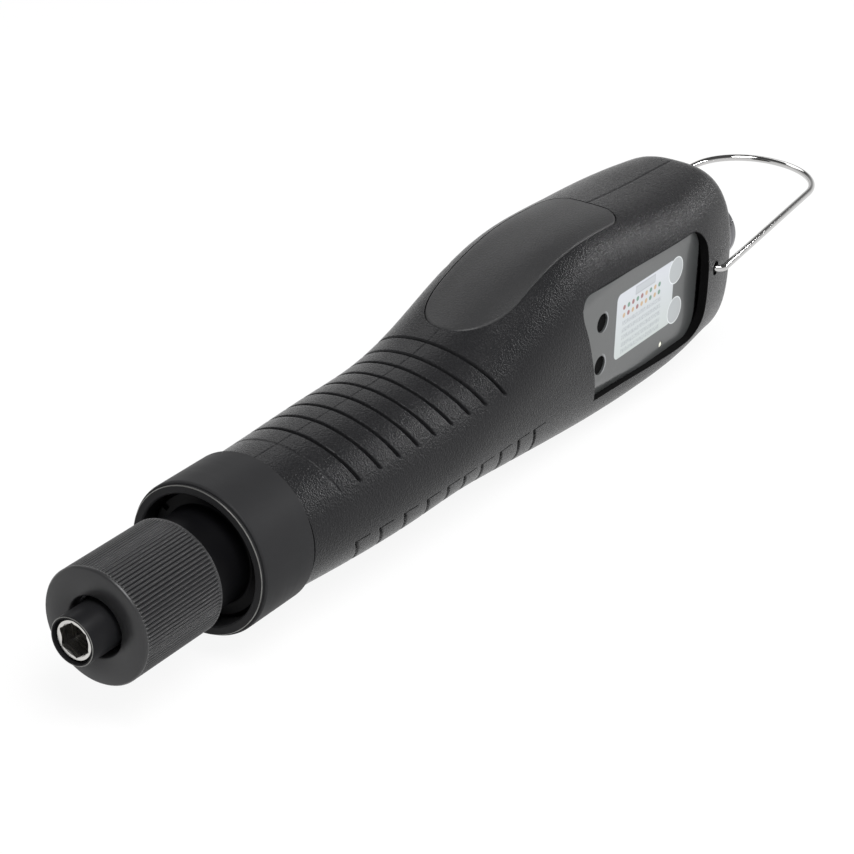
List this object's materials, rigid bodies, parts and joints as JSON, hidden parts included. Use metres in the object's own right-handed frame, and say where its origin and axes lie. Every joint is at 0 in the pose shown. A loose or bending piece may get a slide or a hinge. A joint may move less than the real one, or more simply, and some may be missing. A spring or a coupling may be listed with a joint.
{
  "type": "electric torque screwdriver",
  "caption": "Straight push-to-start electric torque screwdriver with a quick-release bit holder, a torque-setting ring, a moulded grip body, a rear power socket and a hanging bail.",
  "frame": {"origin": "centre of the quick-release sleeve's front rim, on the spindle axis", "axes": "+X along the spindle axis towards the tail, +Z towards the thumb pad, the side panel faces -Y"},
  "size_m": [0.2862, 0.0448, 0.0496],
  "materials": {
    "shell_plastic": "fine spark-eroded texture, near black",
    "pad_plastic": "fine texture, near black",
    "collar_metal": "satin black anodised",
    "ring_metal": "black anodised, straight knurl",
    "sleeve_steel": "black finish, bright worn edge",
    "holder_steel": "turned and polished",
    "barrel_steel": "dark turned",
    "hard_steel": "ground",
    "spring_steel": "drawn wire",
    "bearing_steel": "polished",
    "gear_steel": "machined",
    "motor_steel": "zinc plated",
    "magnet": "sintered",
    "stator_iron": "laminated",
    "copper_winding": "enamelled wire",
    "switch_plastic": "moulded",
    "knob_plastic": "moulded",
    "label_plastic": "satin grey panel",
    "lamp_plastic": "translucent",
    "trimmer_plastic": "moulded",
    "trimmer_case": "moulded",
    "circuit_board": "solder resist",
    "chip_plastic": "moulded",
    "capacitor_can": "bright",
    "screw_steel": "black zinc",
    "chrome_plate": "polished",
    "insulator_plastic": "moulded",
    "pin_brass": "plated"
  },
  "bodies": {
    "housing": {"left_shell": "shell_plastic", "right_shell": "shell_plastic", "thumb_pad": "pad_plastic", "front_collar": "collar_metal", "clutch_barrel": "barrel_steel", "start_return_spring": "spring_steel", "torque_spring": "spring_steel", "spindle_bearing": "bearing_steel", "motor_bearings": "bearing_steel", "clutch_ring_gear": "gear_steel", "input_ring_gear": "gear_steel", "motor_can": "motor_steel", "motor_front_plate": "motor_steel", "motor_rear_plate": "motor_steel", "switch_bracket": "motor_steel", "stator_core": "stator_iron", "stator_coils": "copper_winding", "start_switch": "switch_plastic", "direction_switch": "switch_plastic", "panel_label": "label_plastic", "status_lamp": "lamp_plastic", "trimmer_bodies": "trimmer_case", "control_board": "circuit_board", "drive_transistors": "chip_plastic", "board_capacitor": "capacitor_can", "shell_screws": "screw_steel", "board_screws": "screw_steel", "power_socket": "chrome_plate", "socket_nut": "chrome_plate", "socket_insulator": "insulator_plastic", "socket_pins": "pin_brass"},
    "start_push_rod": {"push_rod": "hard_steel", "start_switch_plunger": "switch_plastic"},
    "spindle": {"bit_holder": "holder_steel", "bit_detent_balls": "hard_steel", "sleeve_snap_ring": "hard_steel", "sleeve_spring": "spring_steel"},
    "quick_release_sleeve": {"quick_release_sleeve": "sleeve_steel"},
    "spring_seat": {"torque_spring_washer": "hard_steel"},
    "torque_ring": {"torque_ring": "ring_metal"},
    "clutch_detent": {"clutch_balls": "hard_steel", "clutch_pressure_washer": "hard_steel"},
    "rotor": {"rotor_shaft": "hard_steel", "rotor_magnet": "magnet", "motor_pinion": "gear_steel"},
    "input_carrier": {"input_carrier": "gear_steel", "input_planet_pins": "hard_steel"},
    "output_carrier": {"output_carrier": "gear_steel", "output_planet_pins": "hard_steel"},
    "speed_trimmer": {"speed_trimmer": "trimmer_plastic"},
    "soft_start_trimmer": {"soft_start_trimmer": "trimmer_plastic"},
    "direction_knob": {"direction_knob": "knob_plastic"},
    "bail": {"bail": "chrome_plate"},
    "input_planet_1": {"input_planet_1": "gear_steel"},
    "input_planet_2": {"input_planet_2": "gear_steel"},
    "input_planet_3": {"input_planet_3": "gear_steel"},
    "output_planet_1": {"output_planet_1": "gear_steel"},
    "output_planet_2": {"output_planet_2": "gear_steel"},
    "output_planet_3": {"output_planet_3": "gear_steel"}
  },
  "joints": [
    {"name": "start_push", "type": "slide", "parent": "housing", "child": "start_push_rod", "axis": [1, 0, 0], "range_m": [0, 0.0012], "stiffness_N_per_m": 1500, "deforming": ["start_return_spring"]},
    {"name": "spindle_spin", "type": "hinge", "parent": "start_push_rod", "child": "spindle", "pos_m": [0.03, 0, 0], "axis": [1, 0, 0], "continuous": true},
    {"name": "sleeve_slide", "type": "slide", "parent": "spindle", "child": "quick_release_sleeve", "axis": [1, 0, 0], "range_m": [0, 0.0025], "stiffness_N_per_m": 600, "deforming": ["sleeve_spring"]},
    {"name": "torque_travel", "type": "slide", "parent": "housing", "child": "spring_seat", "axis": [1, 0, 0], "range_m": [-0.003, 0.005], "deforming": ["torque_spring"]},
    {"name": "torque_ring_turn", "type": "hinge", "parent": "spring_seat", "child": "torque_ring", "pos_m": [0.018, 0, 0], "axis": [1, 0, 0], "range_deg": [-1081, 1801]},
    {"name": "clutch_lift", "type": "slide", "parent": "housing", "child": "clutch_detent", "axis": [-1, 0, 0], "range_m": [0, 0.0004], "stiffness_N_per_m": 6000, "deforming": ["torque_spring"]},
    {"name": "rotor_spin", "type": "hinge", "parent": "housing", "child": "rotor", "pos_m": [0.085, 0, 0], "axis": [1, 0, 0], "continuous": true},
    {"name": "input_carrier_spin", "type": "hinge", "parent": "housing", "child": "input_carrier", "pos_m": [0.054, 0, 0], "axis": [1, 0, 0], "continuous": true},
    {"name": "output_carrier_spin", "type": "hinge", "parent": "housing", "child": "output_carrier", "pos_m": [0.046, 0, 0], "axis": [1, 0, 0], "continuous": true},
    {"name": "speed_trimmer_turn", "type": "hinge", "parent": "housing", "child": "speed_trimmer", "pos_m": [0.1622, -0.015, 0.0096], "axis": [0, -1, 0], "range_deg": [-135, 135]},
    {"name": "soft_start_trimmer_turn", "type": "hinge", "parent": "housing", "child": "soft_start_trimmer", "pos_m": [0.1622, -0.015, -0.001], "axis": [0, -1, 0], "range_deg": [-135, 135]},
    {"name": "direction_slide", "type": "slide", "parent": "housing", "child": "direction_knob", "axis": [1, 0, 0], "range_m": [-0.002, 0.002]},
    {"name": "bail_swing", "type": "hinge", "parent": "housing", "child": "bail", "pos_m": [0.2122, 0, 0.0064], "axis": [0, -1, 0], "range_deg": [-70, 85]},
    {"name": "input_planet_1_spin", "type": "hinge", "parent": "input_carrier", "child": "input_planet_1", "pos_m": [0.0576, 0.0078, 0], "axis": [1, 0, 0], "continuous": true},
    {"name": "input_planet_2_spin", "type": "hinge", "parent": "input_carrier", "child": "input_planet_2", "pos_m": [0.0576, -0.0039, 0.00675], "axis": [1, 0, 0], "continuous": true},
    {"name": "input_planet_3_spin", "type": "hinge", "parent": "input_carrier", "child": "input_planet_3", "pos_m": [0.0576, -0.0039, -0.00675], "axis": [1, 0, 0], "continuous": true},
    {"name": "output_planet_1_spin", "type": "hinge", "parent": "output_carrier", "child": "output_planet_1", "pos_m": [0.0498, 0.0078, 0], "axis": [1, 0, 0], "continuous": true},
    {"name": "output_planet_2_spin", "type": "hinge", "parent": "output_carrier", "child": "output_planet_2", "pos_m": [0.0498, -0.0039, 0.00675], "axis": [1, 0, 0], "continuous": true},
    {"name": "output_planet_3_spin", "type": "hinge", "parent": "output_carrier", "child": "output_planet_3", "pos_m": [0.0498, -0.0039, -0.00675], "axis": [1, 0, 0], "continuous": true}
  ],
  "couplings": [
    {"joint": "input_carrier_spin", "follows": "rotor_spin", "ratio": 0.30769},
    {"joint": "output_carrier_spin", "follows": "rotor_spin", "ratio": 0.094675},
    {"joint": "spindle_spin", "follows": "rotor_spin", "ratio": 0.094675},
    {"joint": "torque_ring_turn", "follows": "torque_travel", "rad_per_m": 6283.2},
    {"joint": "input_planet_1_spin", "follows": "rotor_spin", "ratio": -1.1077},
    {"joint": "input_planet_2_spin", "follows": "rotor_spin", "ratio": -1.1077},
    {"joint": "input_planet_3_spin", "follows": "rotor_spin", "ratio": -1.1077},
    {"joint": "output_planet_1_spin", "follows": "rotor_spin", "ratio": -0.34083},
    {"joint": "output_planet_2_spin", "follows": "rotor_spin", "ratio": -0.34083},
    {"joint": "output_planet_3_spin", "follows": "rotor_spin", "ratio": -0.34083}
  ]
}
